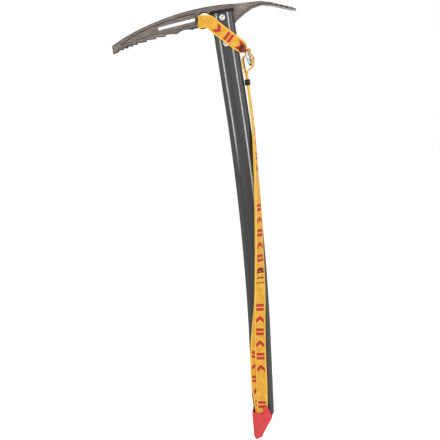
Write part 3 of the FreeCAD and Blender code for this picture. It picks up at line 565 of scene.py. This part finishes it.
sling_slope, sling_width, sling_tail_width = math.radians(45.8), 18.5, 8.6
rivet_head_height, loose_gap, shaft_depth, shaft_width = 0.6, 0.3, 21.0, 33.0
ring_radius, ring_wire, ring_beside, ring_drop = 10.5, 2.0, 12.8, 64.3
ring_turn, ring_tilt = math.radians(9.0), math.radians(4.6)


def sling_stations():
    """The sling's stations from the ring's wire, over the front, through the eye, and back."""
    along = Vector((math.cos(sling_slope), 0, -math.sin(sling_slope)))
    across = Vector((math.sin(sling_slope), 0, math.cos(sling_slope)))
    aside = Vector((0, 1, 0))
    lift = shaft_depth / 2 + rivet_head_height + loose_gap + webbing_thickness / 2
    upright, gathered, wide = Vector((0.2, 0, 0.98)), sling_width * 0.76, sling_width
    front = [(Vector((-3.2, -4.4, -0.8)), upright, gathered),
             (Vector((-6.0, -6.4, -1.6)), upright, wide * 0.86),
             (Vector((-8.8, -8.9, -2.3)), upright, wide * 0.93),
             (Vector((-8.2, 1.0 - lift, -2.35)), upright, wide),
             (Vector((-5.2, -lift, -2.2)), upright, wide),
             (Vector((-1.0, -lift, -1.8)), upright, wide),
             (Vector((7.8, -lift, -3.8)), upright, wide),
             (Vector((12.2, -lift, -9.6)), across, wide)]
    start = Vector((4.0, 0, -2.0))
    side, half_depth = shaft_offset + shaft_width / 2, shaft_depth / 2
    reach = (side - start.x) / along.x
    front += [(start + along * run + Vector((0, -rise, 0)), across, wide)
              for run, rise in [(20.0, lift), (40.0, lift), (reach - 2.7, lift),
                                (reach + 3.3, lift - 0.2)]]
    back = [(Vector((centre.x, -centre.y, centre.z)), direction, width)
            for centre, direction, width in front]
    front += [(Vector((side + 4.7, 1.3 - half_depth, -49.9)), across + aside * 0.4,
               webbing_width * 0.9),
              (Vector((side + 6.4, 6.2 - half_depth, -51.0)), across * 0.5 + aside * 0.87,
               webbing_width * 0.6),
              (Vector((side + 8.1, -0.6, -50.6)), aside, sling_tail_width)]
    back += [(Vector((side + 5.3, half_depth - 0.4, -50.4)), across + aside * 0.4,
              webbing_width * 0.85),
             (Vector((side + 6.5, half_depth - 5.7, -52.3)), across * 0.5 + aside * 0.87,
              webbing_width * 0.58),
             (Vector((side + 7.0, 0.4, -54.1)), aside, sling_tail_width)]
    top = Vector((side + ring_beside - ring_radius * math.sin(ring_tilt) * math.cos(ring_turn),
                  ring_radius * math.sin(ring_tilt) * math.sin(ring_turn),
                  ring_radius * math.cos(ring_tilt) - ring_drop))
    tangent = Vector((math.sin(ring_turn), math.cos(ring_turn), 0))
    wrap = []
    for angle, spare in [(120, 0.85), (87, 0.95), (48, 0.85), (0, 0.75), (-48, 1.85), (-91, 1.85),
                         (-131, 1.8), (-161, 1.9)]:
        away = Vector((math.cos(math.radians(angle)), 0, math.sin(math.radians(angle))))
        away *= ring_wire + webbing_thickness / 2 + spare
        wrap.append((top + away, tangent, sling_tail_width))
    eye = [(Vector((-3.2, 0, -0.6)), upright, gathered)]
    return list(reversed(wrap)) + list(reversed(front)) + eye + back


sling, sling_rings = webbing("head_sling_webbing", sling_stations())
sling.data.materials.append(webbing_material("sling_webbing", phase=32.6, pitch=20.2,
                                             dark_band_at=27.5, dark_band_half=4.5))
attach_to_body(sling, "axe")
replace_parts(sling, "head_sling")


# ------------------------------------------------------------------ sling stitching
# Bar tacks of very dark red bonded thread sew the two legs of the sling together beside the
# shaft: three short zigzag rows on each face.
thread, shader, add = new_material("bonded_thread", (0.16, 0.012, 0.012), 0.55)
place = add("ShaderNodeTexCoord").outputs["Object"]
colour, tone = speckled(add, place, 2500.0, (0.020, 0.003, 0.004), (0.085, 0.008, 0.008))
attach(thread, colour, shader, "Base Color")
bump = add("ShaderNodeBump", {"Height": tone, "Distance": 0.00005, "Strength": 0.6})
attach(thread, bump.outputs["Normal"], shader, "Normal")

thread_radius, thread_lift = 0.00042, 0.0009
tack_step, tack_width, tack_turns = 0.0008, 0.0115, 27
sling_tack_top, sling_tack_fall = -46.4, 3.6
sling_face_depth, sling_end_from = 0.006, 0.040


def nearest_ring(rings, height, after=0):
    """The webbing's place and directions nearest to a height."""
    return min(rings[after:], key=lambda ring: abs(ring[0].z / millimetre - height))


def bar_tack(name, places):
    """Zigzag rows of thread across the webbing, as one piece."""
    curve = bpy.data.curves.new(name, "CURVE")
    curve.dimensions = "3D"
    curve.bevel_depth = thread_radius
    curve.bevel_resolution = 1
    for middle, ahead, across, out in places:
        spline = curve.splines.new("POLY")
        spline.points.add(tack_turns - 1)
        for index, control in enumerate(spline.points):
            share = index / (tack_turns - 1) - 0.5
            step = ahead * (tack_step if index % 2 else -tack_step)
            control.co = (*(middle + across * (share * tack_width) + step + out * thread_lift), 1)
    holder = bpy.data.objects.new(name, curve)
    bpy.context.scene.collection.objects.link(holder)
    make_active(holder)
    bpy.ops.object.convert(target="MESH")
    piece = bpy.context.object
    piece.name = name
    piece.data.materials.append(thread)
    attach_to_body(piece, "axe")
    return piece


sling_tacks = []
for share in (0.12, 0.5, 0.88):
    for side in (-1, 1):
        height = sling_tack_top - sling_tack_fall * share
        near = [ring for ring in sling_rings
                if ring[0].y * side > sling_face_depth and ring[0].x > sling_end_from]
        middle, ahead, across, out = nearest_ring(near, height)
        outward = out if out.y * side > 0 else -out
        sling_tacks.append((middle, ahead, across, outward))
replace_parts(bar_tack("sling_tacks", sling_tacks), "sling_stitching")


# ------------------------------------------------------------------ ring
# Welded stainless steel ring, 4 mm wire and 17 mm inside, polished. The sling's bight holds
# its top and the wrist loop's bight hangs in it.
polished, shader, add = new_material("polished_ring", (0.48, 0.48, 0.49), 0.16, 1.0)
place = add("ShaderNodeTexCoord").outputs["Object"]
colour, tone = speckled(add, place, 400.0, (0.36, 0.36, 0.37), (0.60, 0.60, 0.61))
attach(polished, colour, shader, "Base Color")
rough = add("ShaderNodeMapRange", {"Value": tone, "To Min": 0.1, "To Max": 0.26})
attach(polished, rough.outputs[0], shader, "Roughness")
ring = merged_copy("ring", "welded_ring", polished)
finish_piece(ring, "ring", "ring", angle=60)


# ------------------------------------------------------------------ wrist loop
# One length of flat polyester webbing: its upper bight hangs in the steel ring, both legs
# drop beside the shaft, cross onto its front face and end in the spike cover's pocket.
loop_turn = math.radians(1.0)
loop_top, loop_straight_end = Vector((48.7, 0, -84.0)), Vector((47.1, 0, -162.0))
shared_stations = [(190, 18.8, -9.2, 86), (214, 17.5, -14.6, 81), (238, 15.9, -17.1, 77),
                   (273, 14.0, -18.1, 66), (309, 11.7, -18.3, 56), (347, 8.8, -18.2, 50),
                   (394, 6.1, -16.4, 32)]
outer_stations = [(430, 3.7, -15.7, 14), (460, 1.6, -14.7, 5), (503, 0.1, -14.4, 0),
                  (550, 0.5, -14.4, 0), (578.25, -0.3, -14.4, 0), (602.55, -1.2, -14.05, 0)]
inner_stations = [(430, 3.0, -13.6, 13), (460, -1.8, -12.8, 5), (503, -7.2, -12.5, 0),
                  (550, -8.6, -12.5, 0), (578.25, -4.8, -12.5, 0), (602.55, -2.6, -12.15, 0)]
ring_bight = [(46.5, -78.0, 16.0), (46.1, -69.5, 14.8), (47.0, -63.4, 12.9), (50.0, -60.7, 11.5),
              (53.6, -59.9, 11.5), (57.5, -59.8, 11.5), (60.2, -60.8, 11.5), (61.6, -64.0, 11.5),
              (62.0, -69.3, 11.5), (61.0, -74.8, 11.5), (58.0, -79.0, 11.5), (54.5, -80.9, 12.9),
              (51.6, -82.5, 15.0)]
loop_tack_heights = (-374.2, -382.0, -390.2)
end_bight = [(-1.3, -14.05, -1.5), (-1.5, -13.95, -2.9), (-1.9, -13.1, -4.0),
             (-2.3, -12.25, -2.9), (-2.5, -12.15, -1.5)]


def leg_station(drop, offset, depth, turned, shift=0.0):
    """Centre, direction across and width of a leg where it lies on or beside the shaft."""
    centre, across = shaft_place(drop, offset, depth)
    angle = math.radians(turned)
    outward = Vector((math.sin(angle), -math.cos(angle), 0))
    across = across * math.cos(angle) + Vector((0, math.sin(angle), 0))
    return centre + outward * shift, across, webbing_width


def straight_station(place, shift):
    """A station on the straight stretch below the ring, shifted to one side for its leg."""
    sideways = Vector((math.cos(loop_turn), -math.sin(loop_turn), 0))
    across = Vector((math.sin(loop_turn), math.cos(loop_turn), 0))
    return place + sideways * shift, across, webbing_width


half_pitch = webbing_pitch / 2
slant = math.tan(ring_turn)
ring_across = Vector((math.sin(ring_turn), math.cos(ring_turn), 0))
ring_route = [(Vector((x, -(x - loop_top.x) * slant, z)), ring_across, width)
              for x, z, width in ring_bight]
middle_fall = (loop_top + loop_straight_end) / 2
outer_route = ring_route + [straight_station(place, half_pitch)
                            for place in (loop_top, middle_fall, loop_straight_end)]
outer_route += [leg_station(*station, shift=half_pitch) for station in shared_stations]
outer_route += [leg_station(*station) for station in outer_stations]
for offset, depth, rise in end_bight:
    outer_route.append((*shaft_place(shaft_end - rise, offset, depth), webbing_width))
inner_route = [(ring_route[0][0] - Vector((0, 0, 0.4)), ring_across, webbing_width)]
inner_route += [straight_station(place, -half_pitch)
                for place in (loop_top, middle_fall, loop_straight_end)]
inner_route += [leg_station(*station, shift=-half_pitch) for station in shared_stations]
inner_route += [leg_station(*station) for station in inner_stations]

# the outer leg's dark band is painted shade at its lapped end; the inner leg's band is set before
# its start, so that none shows on it
loop_webbing = webbing_material("wrist_loop_webbing", phase=52.0, pitch=19.0,
                                dark_band_at=373.5, dark_band_half=0.8)
inner_webbing = webbing_material("inner_leg_webbing", phase=52.0, pitch=19.0,
                                 dark_band_at=-100.0, dark_band_half=0.8)
outer_leg, outer_rings = webbing("wrist_loop_outer_leg", outer_route)
outer_leg.data.materials.append(loop_webbing)
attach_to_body(outer_leg, "axe")
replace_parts(outer_leg, "wrist_loop_bight", "wrist_leg_outer", "wrist_loop_end")
inner_leg, inner_rings = webbing("wrist_loop_inner_leg", inner_route, start=-22.0)
inner_leg.data.materials.append(inner_webbing)
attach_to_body(inner_leg, "axe")
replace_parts(inner_leg, "wrist_leg_inner")

loop_tacks = []
past_bight = len(outer_rings) // 3
for height in loop_tack_heights:
    middle, ahead, across, out = nearest_ring(outer_rings, height, after=past_bight)
    outward = out if out.y < 0 else -out
    loop_tacks.append((middle, ahead, across, outward))
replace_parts(bar_tack("loop_tacks", loop_tacks), "wrist_loop_stitching")


# ------------------------------------------------------------------ keeper
# Black moulded rubber band round both straight legs of the wrist loop. It slides up and
# down to close the loop on the wrist.
rubber, shader, add = new_material("black_rubber", (0.005, 0.005, 0.005), 0.5)
shader.inputs["Specular IOR Level"].default_value = 0.2
place = add("ShaderNodeTexCoord").outputs["Object"]
colour, tone = speckled(add, place, 500.0, (0.002, 0.002, 0.002), (0.010, 0.010, 0.010))
attach(rubber, colour, shader, "Base Color")
bump = add("ShaderNodeBump", {"Height": tone, "Distance": 0.00005, "Strength": 0.5})
attach(rubber, bump.outputs["Normal"], shader, "Normal")
keeper = merged_copy("keeper", "keeper_band", rubber)
weighted_bevel(keeper, 0.45, 3, moulded_edges)
finish_piece(keeper, "keeper", "keeper")
